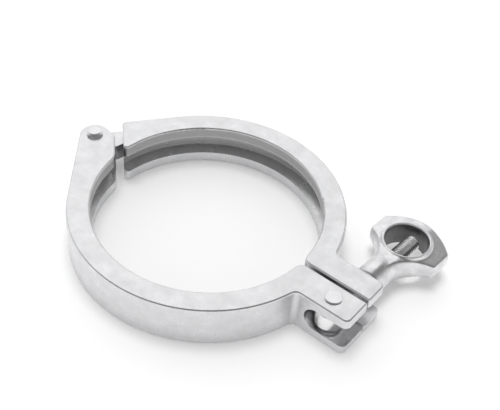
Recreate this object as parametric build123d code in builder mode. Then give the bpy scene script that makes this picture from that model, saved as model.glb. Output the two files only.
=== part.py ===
from build123d import *
import os
from math import acos, asin, atan2, cos, degrees, pi, radians, sin, sqrt

os.makedirs("parts", exist_ok=True)

# Hinged clamp for a 4 inch sanitary ferrule, cast in stainless steel. It lies flat, +Z up.
# The origin is the ring's centre at its lower face. The hinge is on -X and the two lugs
# are on +X, and the jaws part along the plane Y = 0: the front jaw is on -Y and the back
# jaw on +Y. Millimetres.

# ---------------------------------------------------------------- driving dimensions
height = 22.0               # both jaws, top face to bottom face
ring_outer_r = 66.0         # outside of both jaws
lip_r = 55.0                # the lips, which pass round the tube's weld necks
groove_depth = 5.0          # lip to the bottom of the groove
groove_floor = 6.8          # width of the groove at its bottom
flank_angle = 20.0          # slope of each ferrule flange, degrees
edge_round = 1.0            # cast edges of the top and bottom faces
jaw_gap = 1.6               # between the two lugs

hinge_x = 74.5              # hinge pin, from the ring's centre
hinge_pin_r = 4.0
hinge_pin_stand = 2.2       # of the hinge pin's head above the top face
hinge_pin_bevel = 1.0
knuckle_wall = 3.5          # metal round the hinge pin's hole
tongue_height = 9.0         # the back jaw's knuckle, between the front jaw's two ears
end_angle = 45.0            # of the two end faces at the hinge, from the plane of parting
ear_reach = 10.0            # hinge pin to the front jaw's end face
shoulder_turn = 80.0        # direction from the pin where the end face's shoulder leaves the knuckle
shoulder_drop = 1.5         # how far down the end face the shoulder comes
shoulder_r = 5.0            # in plan
end_gap = 4.0               # between the two end faces
tongue_bite = 0.5           # how far down the back jaw's end face the tongue comes
ear_lip_r = 10.0            # in plan, where the front jaw's end face turns into its lips
end_corner_r = 2.0          # in plan, both ends of the back jaw's end face
hinge_slot_angle = 10.0     # of the room between the ears, from the plane of parting

lug_end_x = 91.5            # outer end of both lugs
front_lug_depth = 16.1      # plane of parting to the front lug's outer face
back_lug_depth = 13.8       # plane of parting to the back lug's seat face
lug_corner_r = 3.0          # in plan, at the outer face
lug_inner_r = 1.0           # in plan, at the parting
lug_root_r = 3.0            # in plan, where a lug leaves the ring
mouth_r = 4.0               # in plan, where a lip turns into the parting face
lug_ear = 4.8               # thickness of each ear of a lug
slot_start_x = 69.5         # inner end of the slots in both lugs

bolt_pin_x = 78.3
bolt_pin_y = -8.3
bolt_pin_r = 4.0
bolt_pin_stand = 0.8
bolt_pin_bevel = 0.3
bolt_r = 4.0                # M8 thread, crest radius
eye_wall = 2.8              # metal round the bolt pin
eye_height = 8.6
eye_round = 0.8
bolt_reach = 63.5           # bolt pin to the bolt's end
bolt_chamfer = 1.2
bolt_lean = 3.9             # of the loose bolt, away from the ring, degrees

nut_lift = 3.4              # back lug's seat face to the slack nut's foot
foot_r = 7.2                # round foot and neck of the wing nut
foot_chamfer = 0.8
neck_length = 11.0          # foot to where the neck starts to flare into the wings
crown_start = 8.0           # foot to where the neck's crown starts to run out
crown_end = 22.0
wing_span = 37.6
wing_near = 27.6            # foot to the near corners of the wings
wing_far = 39.4             # foot to the far corners of the wings
nut_length = 47.0           # foot to the top of the nut's arched back
wing_corner_r = 1.6
wing_round = 0.8            # cast edges of the wings
wing_tip = 7.0              # thickness at the wing's tips
wing_root = 12.6            # thickness at the middle
slope_start = 4.0           # the wings thin out from here, from the bolt's axis
window_r = 10.6             # hole through the nut, across the bolt
window_reach = 30.6         # foot to the window's centre
rim_width = 1.1             # flat top of the window's rim
rim_foot = 1.6              # the rim's width at the foot of its taper
rim_taper = 1.2             # height of the taper
rim_stand = 0.5             # of the window's rim above the middle

pin_seat = 0.02             # radial clearance of the pins where they are held
pin_fit = 0.05              # radial clearance of the pins where a piece turns on them
bolt_fit = 0.06             # radial clearance of the bolt's thread in the nut
ear_clearance = 0.3         # the hinge tongue in its slot, each side
knuckle_clearance = 0.8     # the hinge tongue in its slot, all round

# ---------------------------------------------------------------- worked out from those
mid = height / 2
groove_r = lip_r + groove_depth
groove_mouth = groove_floor + 2 * groove_depth * sin(radians(flank_angle)) / cos(radians(flank_angle))
knuckle_r = hinge_pin_r + knuckle_wall
eye_r = bolt_pin_r + eye_wall
slot_height = height - 2 * lug_ear
nut_foot = back_lug_depth + nut_lift - bolt_pin_y
hinge_slot = tongue_height + 2 * ear_clearance
hinge_slot_r = knuckle_r + knuckle_clearance

along = (sin(radians(bolt_lean)), cos(radians(bolt_lean)), 0)       # the bolt, from its pin
across = (cos(radians(bolt_lean)), -sin(radians(bolt_lean)), 0)


def from_hinge(reach, angle):
    """A point in plan, so far from the hinge pin in this direction."""
    return (-hinge_x + reach * cos(radians(angle)), reach * sin(radians(angle)))


def knuckle_turn(side):
    """Direction, from either centre, of the points where the outer edge leaves its arcs."""
    return 180 - side * degrees(acos((ring_outer_r - knuckle_r) / hinge_x))


def on_ring(side):
    """Where one jaw's straight outer edge, which runs to the knuckle, leaves the ring."""
    turn = radians(knuckle_turn(side))
    return (ring_outer_r * cos(turn), ring_outer_r * sin(turn))


def end_face(reach, along=0.0):
    """A point on an end face: so far from the hinge pin, and so far down along the face."""
    a = radians(end_angle)
    return (-hinge_x + reach * cos(a) + along * sin(a), reach * sin(a) - along * cos(a))


def half_plan(side, lug_depth):
    """Plan of one jaw, without its hinge end or its inside: half a disc and a lug."""
    Circle(ring_outer_r)
    with Locations((0, side * jaw_gap / 2)):
        Rectangle(4 * ring_outer_r, 2 * ring_outer_r, mode=Mode.INTERSECT,
                  align=(Align.CENTER, Align.MIN if side > 0 else Align.MAX))
    with Locations((lip_r, side * (jaw_gap / 2 + lug_depth) / 2)):
        Rectangle(lug_end_x - lip_r, lug_depth - jaw_gap / 2, align=(Align.MIN, Align.CENTER))


def hinge_plan(side, reach, keep):
    """Add the hinge end of one jaw's plan, cut along its end face, and open the inside."""
    with BuildLine() as edge:
        Polyline((0, 0), on_ring(side), from_hinge(knuckle_r, knuckle_turn(side)),
                 (-hinge_x, 0), from_hinge(knuckle_r, shoulder_turn), end_face(reach, shoulder_drop),
                 end_face(reach, lip_r / 2), close=True)
    make_face(edge.edges())
    if keep == Align.MIN:
        with Locations((-hinge_x, 0)):
            Circle(knuckle_r)
    with Locations(Location(end_face(reach) + (0,), (0, 0, end_angle))):
        Rectangle(2 * reach, 2 * reach + lip_r, align=(keep, Align.CENTER), mode=Mode.SUBTRACT)
    Circle(lip_r, mode=Mode.SUBTRACT)


def soften(sketch, corner, radius):
    """Round the corner of a plan that lies nearest the point given."""
    fillet(sketch.vertices().sort_by_distance(corner + (0,))[0], radius)


def soften_lug(sketch, side, depth):
    """Round the corners of a lug's plan: both at its end, at its root and at the lips."""
    soften(sketch, (lug_end_x, side * depth), lug_corner_r)
    soften(sketch, (lug_end_x, side * jaw_gap / 2), lug_inner_r)
    soften(sketch, (sqrt(ring_outer_r**2 - depth**2), side * depth), lug_root_r)
    soften(sketch, (lip_r, side * jaw_gap / 2), mouth_r)


def cut_groove():
    """The V groove that draws the two ferrules together."""
    with BuildSketch(Plane.XZ) as profile:
        with BuildLine():
            Polyline((lip_r - groove_depth, mid - groove_mouth / 2), (lip_r, mid - groove_mouth / 2),
                     (groove_r, mid - groove_floor / 2), (groove_r, mid + groove_floor / 2),
                     (lip_r, mid + groove_mouth / 2), (lip_r - groove_depth, mid + groove_mouth / 2),
                     close=True)
        make_face()
    revolve(profile.sketch, axis=Axis.Z, mode=Mode.SUBTRACT)


def cut_lug_slot():
    """The slot for the swing bolt: round at its inner end, open at the lug's outer end."""
    with BuildSketch(Plane.XZ) as profile:
        with Locations((slot_start_x + slot_height / 2, mid)):
            Circle(slot_height / 2)
            Rectangle(lug_end_x, slot_height, align=(Align.MIN, Align.CENTER))
    extrude(profile.sketch, amount=2 * front_lug_depth, both=True, mode=Mode.SUBTRACT)


# ---------------------------------------------------------------- front jaw
# Half ring with two ears at the hinge and a slotted lug, which carries the bolt's pin.
with BuildPart() as front_jaw:
    with BuildSketch() as front_plan:
        half_plan(-1, front_lug_depth)
        hinge_plan(-1, ear_reach, Align.MIN)
        soften_lug(front_plan, -1, front_lug_depth)
        soften(front_plan, end_face(ear_reach, shoulder_drop), shoulder_r)
        soften(front_plan, end_face(ear_reach, lip_r / 3), ear_lip_r)
    extrude(amount=height)
    flats = front_jaw.faces().filter_by(Axis.Z).sort_by(Axis.Z)
    fillet(flats[0].edges() + flats[-1].edges(), edge_round)
    cut_groove()
    cut_lug_slot()
    # the room between the ears for the back jaw's tongue, at rest and as the jaws open
    with BuildSketch(Plane.XY.offset(mid - hinge_slot / 2)):
        with Locations(Location((-hinge_x, 0, 0), (0, 0, hinge_slot_angle))):
            Circle(hinge_slot_r)
            Rectangle(2 * hinge_slot_r + end_gap, 2 * hinge_slot_r, align=(Align.MIN, Align.CENTER))
    extrude(amount=hinge_slot, mode=Mode.SUBTRACT)
    with Locations((-hinge_x, 0, mid)):
        Cylinder(hinge_pin_r + pin_seat, height, mode=Mode.SUBTRACT)
    with Locations((bolt_pin_x, bolt_pin_y, mid)):
        Cylinder(bolt_pin_r + pin_seat, height, mode=Mode.SUBTRACT)
front_jaw.part.label = "front_jaw"
export_step(front_jaw.part, "parts/front_jaw.step")

# ---------------------------------------------------------------- back jaw
# Half ring with one tongue, which turns between the ears, and a lug that is slotted so
# that the bolt swings in and out of it. The nut bears on the lug's back face.
with BuildPart() as back_jaw:
    with BuildSketch() as back_plan:
        half_plan(1, back_lug_depth)
        hinge_plan(1, ear_reach + end_gap, Align.MAX)
        soften_lug(back_plan, 1, back_lug_depth)
        soften(back_plan, from_hinge(ear_reach + end_gap, 90), end_corner_r)
        soften(back_plan, end_face(ear_reach + end_gap, ear_reach + end_corner_r), end_corner_r)
    extrude(amount=height)
    flats = back_jaw.faces().filter_by(Axis.Z).sort_by(Axis.Z)
    fillet(flats[0].edges() + flats[-1].edges(), edge_round)
    # the tongue: round about the pin, and narrowing into the end face
    root_reach = sqrt((ear_reach + end_gap)**2 + tongue_bite**2)
    root_turn = end_angle - degrees(atan2(tongue_bite, ear_reach + end_gap))
    with BuildSketch(Plane.XY.offset(mid - tongue_height / 2)):
        with Locations((-hinge_x, 0)):
            Circle(knuckle_r)
        with BuildLine():
            Polyline((-hinge_x, 0), from_hinge(knuckle_r, knuckle_turn(1)),
                     from_hinge(hinge_x / 2, knuckle_turn(1) - 90 + degrees(asin(2 * knuckle_r / hinge_x))),
                     from_hinge(root_reach + end_corner_r, root_turn), from_hinge(root_reach, root_turn),
                     from_hinge(knuckle_r, root_turn - degrees(acos(knuckle_r / root_reach))), close=True)
        make_face()
    extrude(amount=tongue_height)
    cut_groove()
    cut_lug_slot()
    with Locations((-hinge_x, 0, mid)):
        Cylinder(hinge_pin_r + pin_fit, height, mode=Mode.SUBTRACT)
back_jaw.part.label = "back_jaw"
export_step(back_jaw.part, "parts/back_jaw.step")

# ---------------------------------------------------------------- pins
# Turned steel, pressed into the front jaw's ears from above, flush below.
with BuildPart() as hinge_pin:
    with BuildSketch():
        with Locations((-hinge_x, 0)):
            Circle(hinge_pin_r)
    extrude(amount=height + hinge_pin_stand)
    chamfer(hinge_pin.edges().group_by(Axis.Z)[-1], hinge_pin_bevel)
hinge_pin.part.label = "hinge_pin"
export_step(hinge_pin.part, "parts/hinge_pin.step")

with BuildPart() as bolt_pin:
    with BuildSketch():
        with Locations((bolt_pin_x, bolt_pin_y)):
            Circle(bolt_pin_r)
    extrude(amount=height + bolt_pin_stand)
    chamfer(bolt_pin.edges().group_by(Axis.Z)[-1], bolt_pin_bevel)
bolt_pin.part.label = "bolt_pin"
export_step(bolt_pin.part, "parts/bolt_pin.step")

# ---------------------------------------------------------------- swing bolt
# An eye bolt: a round eye on the pin and a straight M8 shank, drawn at its crest radius.
eye_plane = Plane(origin=(bolt_pin_x, bolt_pin_y, mid), x_dir=across, z_dir=(0, 0, 1))
shank_plane = Plane(origin=(bolt_pin_x, bolt_pin_y, mid), x_dir=across, z_dir=along)
with BuildPart() as swing_bolt:
    with BuildSketch(eye_plane.offset(-eye_height / 2)):
        Circle(eye_r)
    extrude(amount=eye_height)
    fillet(swing_bolt.edges(), eye_round)
    with BuildSketch(shank_plane):
        Circle(bolt_r)
    extrude(amount=bolt_reach)
    chamfer(swing_bolt.faces().sort_by(Axis(shank_plane.origin, along))[-1].edges(), bolt_chamfer)
    with BuildSketch(eye_plane.offset(-eye_height)):
        Circle(bolt_pin_r + pin_fit)
    extrude(amount=2 * eye_height, mode=Mode.SUBTRACT)
swing_bolt.part.label = "swing_bolt"
export_step(swing_bolt.part, "parts/swing_bolt.step")

# ---------------------------------------------------------------- wing nut
# One casting: a round neck that is tapped right through, and two short wings joined by an
# arched back round an open window, so that the bolt's end shows.
nut_plane = Plane(origin=shank_plane.origin + nut_foot * Vector(*along), x_dir=across, z_dir=(0, 0, 1))
foot_plane = Plane(origin=nut_plane.origin, x_dir=across, z_dir=along)
window_centre = nut_plane.origin + window_reach * Vector(*along)
with BuildPart() as wing_nut:
    # the wings' outline, turned about the bolt: a round neck that flares out like a bell
    with BuildSketch(nut_plane) as bell:
        with BuildLine():
            Polyline((0, nut_length), (0, foot_chamfer), (foot_r, foot_chamfer), (foot_r, neck_length))
            TangentArc((foot_r, neck_length), (wing_span / 2, wing_near), tangent=(0, 1))
            Line((wing_span / 2, wing_near), (wing_span / 2, wing_far))
            TangentArc((0, nut_length), (wing_span / 2, wing_far), tangent=(1, 0))
        make_face()
        soften(bell, (wing_span / 2, wing_near), wing_corner_r)
        soften(bell, (wing_span / 2, wing_far), wing_corner_r)
    revolve(axis=Axis(nut_plane.origin, along))
    # the bell is flattened into two wings, which thin out from the middle to their tips
    with BuildSketch(foot_plane):
        with BuildLine():
            Polyline((-wing_span / 2, wing_tip / 2), (-slope_start, wing_root / 2),
                     (slope_start, wing_root / 2), (wing_span / 2, wing_tip / 2),
                     (wing_span / 2, -wing_tip / 2), (slope_start, -wing_root / 2),
                     (-slope_start, -wing_root / 2), (-wing_span / 2, -wing_tip / 2), close=True)
        make_face()
    extrude(amount=nut_length, mode=Mode.INTERSECT)
    beyond_neck = wing_nut.edges().filter_by(
        lambda edge: nut_plane.to_local_coords(edge.center()).Y > neck_length
        and abs(nut_plane.to_local_coords(edge.center()).X) > slope_start)
    fillet(beyond_neck, wing_round)
    # the round neck, whose crown runs out under the window's rim
    with BuildSketch(nut_plane):
        with BuildLine():
            Polyline((0, crown_end), (0, 0), (foot_r - foot_chamfer, 0), (foot_r, foot_chamfer),
                     (foot_r, crown_start))
            TangentArc((foot_r, crown_start), (0, crown_end), tangent=(0, 1))
        make_face()
    revolve(axis=Axis(nut_plane.origin, along))
    # a raised rim, tapered outwards, runs round the window on both sides
    rim_height = wing_root / 2 + rim_stand
    with BuildSketch(Plane(origin=window_centre, x_dir=across, z_dir=along)):
        with BuildLine():
            Polyline((0, -rim_height), (window_r + rim_width, -rim_height),
                     (window_r + rim_foot, rim_taper - rim_height),
                     (window_r + rim_foot, rim_height - rim_taper),
                     (window_r + rim_width, rim_height), (0, rim_height), close=True)
        make_face()
    revolve(axis=Axis(window_centre, (0, 0, 1)))
    with BuildSketch(nut_plane.offset(-wing_root)):
        with Locations((0, window_reach)):
            Circle(window_r)
    extrude(amount=2 * wing_root, mode=Mode.SUBTRACT)
    mouths = wing_nut.edges().filter_by(GeomType.CIRCLE).filter_by(
        lambda edge: abs(edge.radius - window_r) < rim_stand / 10)
    fillet([mouths.sort_by(Axis.Z)[0], mouths.sort_by(Axis.Z)[-1]], rim_stand)
    with BuildSketch(foot_plane):
        Circle(bolt_r + bolt_fit)
    extrude(amount=window_reach, mode=Mode.SUBTRACT)
wing_nut.part.label = "wing_nut"
export_step(wing_nut.part, "parts/wing_nut.step")
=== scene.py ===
import math

import bmesh
import bpy
import numpy as np
from mathutils import Matrix, Vector


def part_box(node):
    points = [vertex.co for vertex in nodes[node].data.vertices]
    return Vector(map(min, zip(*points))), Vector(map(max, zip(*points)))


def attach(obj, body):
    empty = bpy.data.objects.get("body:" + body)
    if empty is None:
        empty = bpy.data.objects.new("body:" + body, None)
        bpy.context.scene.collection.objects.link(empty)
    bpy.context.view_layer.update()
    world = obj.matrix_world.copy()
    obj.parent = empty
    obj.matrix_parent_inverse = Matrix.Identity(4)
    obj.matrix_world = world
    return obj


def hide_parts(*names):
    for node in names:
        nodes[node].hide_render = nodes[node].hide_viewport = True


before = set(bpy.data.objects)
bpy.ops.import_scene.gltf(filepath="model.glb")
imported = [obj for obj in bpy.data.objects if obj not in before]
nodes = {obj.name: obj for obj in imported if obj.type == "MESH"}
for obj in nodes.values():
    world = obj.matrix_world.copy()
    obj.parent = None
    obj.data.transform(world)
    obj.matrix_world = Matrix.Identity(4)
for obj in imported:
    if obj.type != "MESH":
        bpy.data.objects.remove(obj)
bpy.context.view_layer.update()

# ---- Jaws ----
# The two half rings are investment castings in stainless steel, tumbled to a satin grey that stays a
# little cloudy. They are shown as the CAD nodes themselves, hinged together at the ear.


def steel(name, light, dark, rough, cloud_size, cloud, grain):
    """Satin metal whose grey and gloss drift in clouds of cloud_size metres, with a fine cast grain."""
    material = bpy.data.materials.new(name)
    material.use_nodes = True
    tree = material.node_tree
    surface = tree.nodes["Principled BSDF"]
    surface.inputs["Metallic"].default_value = 1.0
    place = tree.nodes.new("ShaderNodeTexCoord").outputs["Object"]

    clouds = tree.nodes.new("ShaderNodeTexNoise")
    clouds.inputs["Scale"].default_value = 1.0 / cloud_size
    clouds.inputs["Detail"].default_value = 5.0
    clouds.inputs["Roughness"].default_value = 0.62
    tree.links.new(place, clouds.inputs["Vector"])

    tone = tree.nodes.new("ShaderNodeMapRange")
    tone.inputs["From Min"].default_value = 0.5 - cloud
    tone.inputs["From Max"].default_value = 0.5 + cloud
    tree.links.new(clouds.outputs["Fac"], tone.inputs["Value"])

    colour = tree.nodes.new("ShaderNodeMix")
    colour.data_type = "RGBA"
    colour.inputs[6].default_value = (*dark, 1)
    colour.inputs[7].default_value = (*light, 1)
    tree.links.new(tone.outputs["Result"], colour.inputs[0])
    tree.links.new(colour.outputs[2], surface.inputs["Base Color"])

    gloss_drift = 0.05
    gloss = tree.nodes.new("ShaderNodeMapRange")
    gloss.inputs["To Min"].default_value = rough + gloss_drift
    gloss.inputs["To Max"].default_value = rough - gloss_drift
    tree.links.new(tone.outputs["Result"], gloss.inputs["Value"])
    tree.links.new(gloss.outputs["Result"], surface.inputs["Roughness"])

    pits_per_metre, pit_depth = 1100.0, 0.0001
    pits = tree.nodes.new("ShaderNodeTexNoise")
    pits.inputs["Scale"].default_value = pits_per_metre
    pits.inputs["Detail"].default_value = 3.0
    tree.links.new(place, pits.inputs["Vector"])
    bump = tree.nodes.new("ShaderNodeBump")
    bump.inputs["Strength"].default_value = grain
    bump.inputs["Distance"].default_value = pit_depth
    tree.links.new(pits.outputs["Fac"], bump.inputs["Height"])
    tree.links.new(bump.outputs["Normal"], surface.inputs["Normal"])
    return material


cast_steel = steel("cast_steel", (0.76, 0.76, 0.77), (0.67, 0.67, 0.68), 0.3, 0.006, 0.2, 0.6)


def paint_hollow_shade(material, centre, hollow_r, upper, lower, fade, shade_grey):
    """Painted shade in a hollow: within hollow_r of an upright axis through centre, and between lower and
    upper, the base colour is mixed towards a flat darker grey that stands in for the shade there. It fades
    in over fade."""
    tree = material.node_tree
    surface = tree.nodes["Principled BSDF"]
    place = tree.nodes.new("ShaderNodeTexCoord").outputs["Object"]
    from_axis = tree.nodes.new("ShaderNodeVectorMath")
    from_axis.operation = "SUBTRACT"
    from_axis.inputs[1].default_value = (centre[0], centre[1], 0)
    tree.links.new(place, from_axis.inputs[0])
    flat = tree.nodes.new("ShaderNodeVectorMath")
    flat.operation = "MULTIPLY"
    flat.inputs[1].default_value = (1, 1, 0)
    tree.links.new(from_axis.outputs["Vector"], flat.inputs[0])
    reach = tree.nodes.new("ShaderNodeVectorMath")
    reach.operation = "LENGTH"
    tree.links.new(flat.outputs["Vector"], reach.inputs[0])
    rise = tree.nodes.new("ShaderNodeSeparateXYZ")
    tree.links.new(place, rise.inputs["Vector"])
    edge_out, edge_in = 0.0006, 0.0002
    limits = ((reach.outputs["Value"], hollow_r + edge_out, hollow_r + edge_in),
              (rise.outputs["Z"], lower, lower + fade),
              (rise.outputs["Z"], upper, upper - edge_out))
    amount = None
    for source, start, stop in limits:
        step = tree.nodes.new("ShaderNodeMapRange")
        step.inputs["From Min"].default_value = start
        step.inputs["From Max"].default_value = stop
        tree.links.new(source, step.inputs["Value"])
        if amount is None:
            amount = step.outputs["Result"]
        else:
            both = tree.nodes.new("ShaderNodeMath")
            both.operation = "MULTIPLY"
            tree.links.new(amount, both.inputs[0])
            tree.links.new(step.outputs["Result"], both.inputs[1])
            amount = both.outputs["Value"]
    # Painted shade: the base colour is mixed towards the darker grey inside the hollow.
    shaded_colour = tree.nodes.new("ShaderNodeMix")
    shaded_colour.data_type = "RGBA"
    tree.links.new(amount, shaded_colour.inputs[0])
    tree.links.new(surface.inputs["Base Color"].links[0].from_socket, shaded_colour.inputs[6])
    shaded_colour.inputs[7].default_value = (shade_grey, shade_grey, shade_grey, 1)
    tree.links.new(shaded_colour.outputs[2], surface.inputs["Base Color"])


ring_centre = (0, 0)
jaw_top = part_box("front_jaw")[1].z
groove_r, groove_top, groove_foot = 0.0605, jaw_top - 0.0054, 0.0048
lip_r, lip_top, lip_foot = 0.0575, jaw_top - 0.0006, jaw_top - 0.0068
# Painted shade: the ring's groove and the inner face of its upper lip are darkened in their base colour.
paint_hollow_shade(cast_steel, ring_centre, groove_r, groove_top, groove_foot, fade=0.005, shade_grey=0.36)
paint_hollow_shade(cast_steel, ring_centre, lip_r, lip_top, lip_foot, fade=0.002, shade_grey=0.34)
for name in ("front_jaw", "back_jaw"):
    nodes[name].data.materials.clear()
    nodes[name].data.materials.append(cast_steel)

# ---- Pins ----
# The hinge pin and the bolt's pin are turned from bar, with flat bevelled heads, and pressed into the
# front jaw.

turned_steel = steel("turned_steel", (0.78, 0.78, 0.79), (0.7, 0.7, 0.71), 0.24, 0.004, 0.2, 0.3)
for name in ("hinge_pin", "bolt_pin"):
    nodes[name].data.materials.clear()
    nodes[name].data.materials.append(turned_steel)

# ---- Swing bolt ----
# An eye bolt forged and machined from stainless bar: the eye turns on its pin between the front jaw's
# two ears, and the shank carries an M8 thread as far as its chamfered end.

threaded_steel = steel("threaded_steel", (0.96, 0.96, 0.96), (0.86, 0.86, 0.86), 0.24, 0.004, 0.2, 0.1)
pin_low, pin_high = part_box("bolt_pin")
eye_centre = (pin_low + pin_high) / 2
bolt_low, bolt_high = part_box("swing_bolt")
eye_centre.z = (bolt_low.z + bolt_high.z) / 2
lean = math.radians(3.9)
eye_out, eye_in, eye_half, eye_round = 0.0068, 0.00405, (bolt_high.z - bolt_low.z) / 2, 0.0008
thread_r, pitch, thread_depth = 0.004, 0.00125, 0.00072
shank_from, thread_from, bolt_end, end_bevel = 0.0052, 0.020, 0.0635, 0.0012
crest_share, flank_share = 0.12, 0.68
rows_a_pitch, eye_steps, shank_steps = 12, 96, 48


def skin(count, around, close_rows):
    """Faces that join each of count rings of points to the next, and the last to the first where
    close_rows."""
    last = count if close_rows else count - 1
    faces = []
    for i in range(last):
        for j in range(around):
            k = (j + 1) % around
            up_row = (i + 1) % count
            faces.append((i * around + j, i * around + k, up_row * around + k, up_row * around + j))
    return faces


def eye():
    """The eye's section, turned about its pin: square inside, with rounded outer edges."""
    bend = np.linspace(0, math.pi / 2, 7)
    corner_r = eye_out - eye_round + eye_round * np.cos(bend)
    corner_z = eye_half - eye_round + eye_round * np.sin(bend)
    lip = 0.0003
    section = [(eye_in, -(eye_half - lip)), (eye_in + lip, -eye_half)]
    section += list(zip(corner_r[::-1], -corner_z[::-1])) + list(zip(corner_r, corner_z))
    section += [(eye_in + lip, eye_half), (eye_in, eye_half - lip)]
    turn = np.linspace(0, math.tau, eye_steps + 1)[:-1]
    points = [(r * math.cos(t), r * math.sin(t), z) for r, z in section for t in turn]
    return points, skin(len(section), len(turn), True)


def shank():
    """The shank along +Y: its radius dips by the V of a helix of one pitch, and is bevelled at the end."""
    along = np.concatenate([np.linspace(shank_from, thread_from, 8)[:-1],
                            np.arange(thread_from, bolt_end, pitch / rows_a_pitch), [bolt_end]])
    turn = np.linspace(0, math.tau, shank_steps + 1)[:-1]
    v, t = np.meshgrid(along, turn, indexing="ij")
    phase = np.abs((v / pitch - t / math.tau) % 1 - 0.5) * 2
    dip = np.clip((phase - crest_share) / flank_share, 0, 1)
    grown = np.clip((v - thread_from) / pitch, 0, 1)
    radius = np.minimum(thread_r - thread_depth * dip * grown, thread_r - end_bevel + (bolt_end - v))
    points = np.stack([radius * np.sin(t), v, radius * np.cos(t)], -1).reshape(-1, 3).tolist()
    faces = skin(len(along), len(turn), False)
    points += [(0, float(along[0]), 0), (0, bolt_end, 0)]
    start, end = len(points) - 2, len(points) - 1
    last = (len(along) - 1) * len(turn)
    for j in range(len(turn)):
        k = (j + 1) % len(turn)
        faces += [(start, k, j), (end, last + j, last + k)]
    return points, faces


points, faces = eye()
more_points, more_faces = shank()
shift = len(points)
faces += [tuple(i + shift for i in face) for face in more_faces]
points = np.array(points + more_points)
lean_cos, lean_sin = math.cos(lean), math.sin(lean)
leaning = np.array([(lean_cos, -lean_sin, 0), (lean_sin, lean_cos, 0), (0, 0, 1)])
points = points @ leaning + np.array(eye_centre)
bolt_mesh = bpy.data.meshes.new("threaded_bolt")
bolt_mesh.from_pydata(points.tolist(), [], faces)
bolt_mesh.polygons.foreach_set("use_smooth", [True] * len(bolt_mesh.polygons))
bolt_mesh.materials.append(threaded_steel)
threaded_bolt = bpy.data.objects.new("threaded_bolt", bolt_mesh)
bpy.context.scene.collection.objects.link(threaded_bolt)
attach(threaded_bolt, "swing_bolt")
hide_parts("swing_bolt")

# ---- Wing nut ----
# One casting: a round foot and neck, and two wings joined across their ends round a window in which the
# bolt's end can be seen. It is tapped through the neck and runs on the bolt.

cast_nut = steel("cast_nut", (0.82, 0.82, 0.83), (0.62, 0.62, 0.63), 0.3, 0.005, 0.2, 0.6)
nut_low, nut_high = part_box("wing_nut")
window_reach, window_r = 0.0561, 0.0107
window_centre = (eye_centre.x + lean_sin * window_reach, eye_centre.y + lean_cos * window_reach)
window_top, window_foot = nut_high.z - 0.0008, nut_low.z - 0.003
# Painted shade: the inside of the nut's window is darkened in its base colour.
paint_hollow_shade(cast_nut, window_centre, window_r, window_top, window_foot, fade=0.002, shade_grey=0.2)
nut_mesh = nodes["wing_nut"].data.copy()
nut_mesh.name = "cast_wing_nut"
nut_mesh.materials.clear()
nut_mesh.materials.append(cast_nut)
joined = bmesh.new()
joined.from_mesh(nut_mesh)
same_point = 1e-6
bmesh.ops.remove_doubles(joined, verts=joined.verts, dist=same_point)
joined.to_mesh(nut_mesh)
joined.free()
cast_wing_nut = bpy.data.objects.new("cast_wing_nut", nut_mesh)
bpy.context.scene.collection.objects.link(cast_wing_nut)
even = cast_wing_nut.modifiers.new("even", "REMESH")
even.mode = "VOXEL"
even.voxel_size = 0.0003
even.use_smooth_shade = True
tumbled = cast_wing_nut.modifiers.new("tumbled", "SMOOTH")
tumbled.factor = 0.5
tumbled.iterations = 24
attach(cast_wing_nut, "wing_nut")
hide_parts("wing_nut")

# ---- Floor ----
# Plain white card under the clamp, which takes the clamp's own soft shadow. It is not part of the object.

floor_size = 4.0
half = floor_size / 2
card_white, card_lift = 0.95, 0.14
floor_mesh = bpy.data.meshes.new("floor")
corners = [(-half, -half, 0), (half, -half, 0), (half, half, 0), (-half, half, 0)]
floor_mesh.from_pydata(corners, [], [(0, 1, 2, 3)])
floor = bpy.data.objects.new("floor", floor_mesh)
bpy.context.scene.collection.objects.link(floor)
card = bpy.data.materials.new("card")
card.use_nodes = True
paper = card.node_tree
paper.nodes.clear()
white_card = paper.nodes.new("ShaderNodeBsdfDiffuse")
white_card.inputs["Color"].default_value = (card_white, card_white, card_white, 1)
# a little lift takes lit card to white, alike for the eye, for the steel and for glass
ray = paper.nodes.new("ShaderNodeLightPath")
looked_at = ray.outputs["Is Camera Ray"]
for other_ray in ("Is Glossy Ray", "Is Transmission Ray"):
    either = paper.nodes.new("ShaderNodeMath")
    either.operation = "MAXIMUM"
    paper.links.new(looked_at, either.inputs[0])
    paper.links.new(ray.outputs[other_ray], either.inputs[1])
    looked_at = either.outputs["Value"]
lift_level = paper.nodes.new("ShaderNodeMath")
lift_level.operation = "MULTIPLY"
lift_level.inputs[1].default_value = card_lift
paper.links.new(looked_at, lift_level.inputs[0])
lift = paper.nodes.new("ShaderNodeEmission")
paper.links.new(lift_level.outputs["Value"], lift.inputs["Strength"])
lifted = paper.nodes.new("ShaderNodeAddShader")
paper.links.new(white_card.outputs["BSDF"], lifted.inputs[0])
paper.links.new(lift.outputs["Emission"], lifted.inputs[1])
card_out = paper.nodes.new("ShaderNodeOutputMaterial")
paper.links.new(lifted.outputs["Shader"], card_out.inputs["Surface"])
floor_mesh.materials.append(card)

# ---- Studio ----
# White walls stand all round and fade up into a dim ceiling, with one big softbox behind the clamp and
# to its left. Every ray sees the same room, so the steel mirrors what stands behind it.

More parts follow.
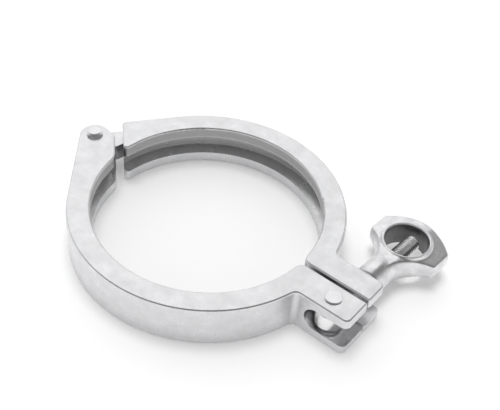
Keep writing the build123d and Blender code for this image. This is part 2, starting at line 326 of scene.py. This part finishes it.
world = bpy.data.worlds.new("studio")
bpy.context.scene.world = world
world.use_nodes = True
room = world.node_tree
room.nodes.clear()
ceiling_level, wall_level, box_level = 0.2, 1.0, 1.16
wall_full, wall_end = math.radians(12), math.radians(48)
box_heading, box_rise = math.radians(142), math.radians(45)
box_core, box_edge = math.radians(22), math.radians(42)
toward = room.nodes.new("ShaderNodeTexCoord").outputs["Generated"]
height = room.nodes.new("ShaderNodeSeparateXYZ")
room.links.new(toward, height.inputs["Vector"])
wall = room.nodes.new("ShaderNodeMapRange")
wall.interpolation_type = "SMOOTHSTEP"
wall.inputs["From Min"].default_value = math.sin(wall_full)
wall.inputs["From Max"].default_value = math.sin(wall_end)
wall.inputs["To Min"].default_value = wall_level
wall.inputs["To Max"].default_value = ceiling_level
room.links.new(height.outputs["Z"], wall.inputs["Value"])
facing = room.nodes.new("ShaderNodeVectorMath")
facing.operation = "DOT_PRODUCT"
facing.inputs[1].default_value = (math.cos(box_heading) * math.cos(box_rise),
                                  math.sin(box_heading) * math.cos(box_rise), math.sin(box_rise))
room.links.new(toward, facing.inputs[0])
softbox = room.nodes.new("ShaderNodeMapRange")
softbox.interpolation_type = "SMOOTHSTEP"
softbox.inputs["From Min"].default_value = math.cos(box_edge)
softbox.inputs["From Max"].default_value = math.cos(box_core)
softbox.inputs["To Max"].default_value = box_level
room.links.new(facing.outputs["Value"], softbox.inputs["Value"])
brighter = room.nodes.new("ShaderNodeMath")
brighter.operation = "MAXIMUM"
room.links.new(wall.outputs["Result"], brighter.inputs[0])
room.links.new(softbox.outputs["Result"], brighter.inputs[1])
soft_light = room.nodes.new("ShaderNodeBackground")
soft_light.inputs["Color"].default_value = (1, 1, 1, 1)
room.links.new(brighter.outputs["Value"], soft_light.inputs["Strength"])
out = room.nodes.new("ShaderNodeOutputWorld")
room.links.new(soft_light.outputs["Background"], out.inputs["Surface"])

# Broad light from overhead brings the card to white. It is left out of the steel's reflections.
overhead_rise, overhead_spread, overhead_level = math.radians(83), math.radians(28), 1.31
overhead_data = bpy.data.lights.new("overhead", "SUN")
overhead_data.angle = overhead_spread
overhead_data.energy = overhead_level
overhead = bpy.data.objects.new("overhead", overhead_data)
overhead_from = Vector((math.cos(box_heading) * math.cos(overhead_rise),
                        math.sin(box_heading) * math.cos(overhead_rise), math.sin(overhead_rise)))
overhead.matrix_world = overhead_from.to_track_quat("Z", "Y").to_matrix().to_4x4()
overhead.visible_glossy = False
bpy.context.scene.collection.objects.link(overhead)

# ---- Camera ----
# It stands in front and to the right, looks down on the ring and is turned a little in its roll.

heading, look_down, roll = math.radians(124.926), math.radians(43.845), 0.09038
stand = (0.2040, -0.2574, 0.3381)
forward = Vector((math.cos(heading) * math.cos(look_down),
                  math.sin(heading) * math.cos(look_down), -math.sin(look_down)))
level = Vector((math.sin(heading), -math.cos(heading), 0))
upright = level.cross(forward)
right = math.cos(roll) * level + math.sin(roll) * upright
up = math.cos(roll) * upright - math.sin(roll) * level
lens = bpy.data.cameras.new("camera")
lens.sensor_width = 36.0
lens.lens = 69.624
lens.clip_start = 0.01
camera = bpy.data.objects.new("camera", lens)
aim = Matrix((right, up, -forward)).transposed().to_4x4()
camera.matrix_world = Matrix.Translation(stand) @ aim
bpy.context.scene.collection.objects.link(camera)
bpy.context.scene.camera = camera
bpy.context.scene.view_settings.view_transform = "Standard"
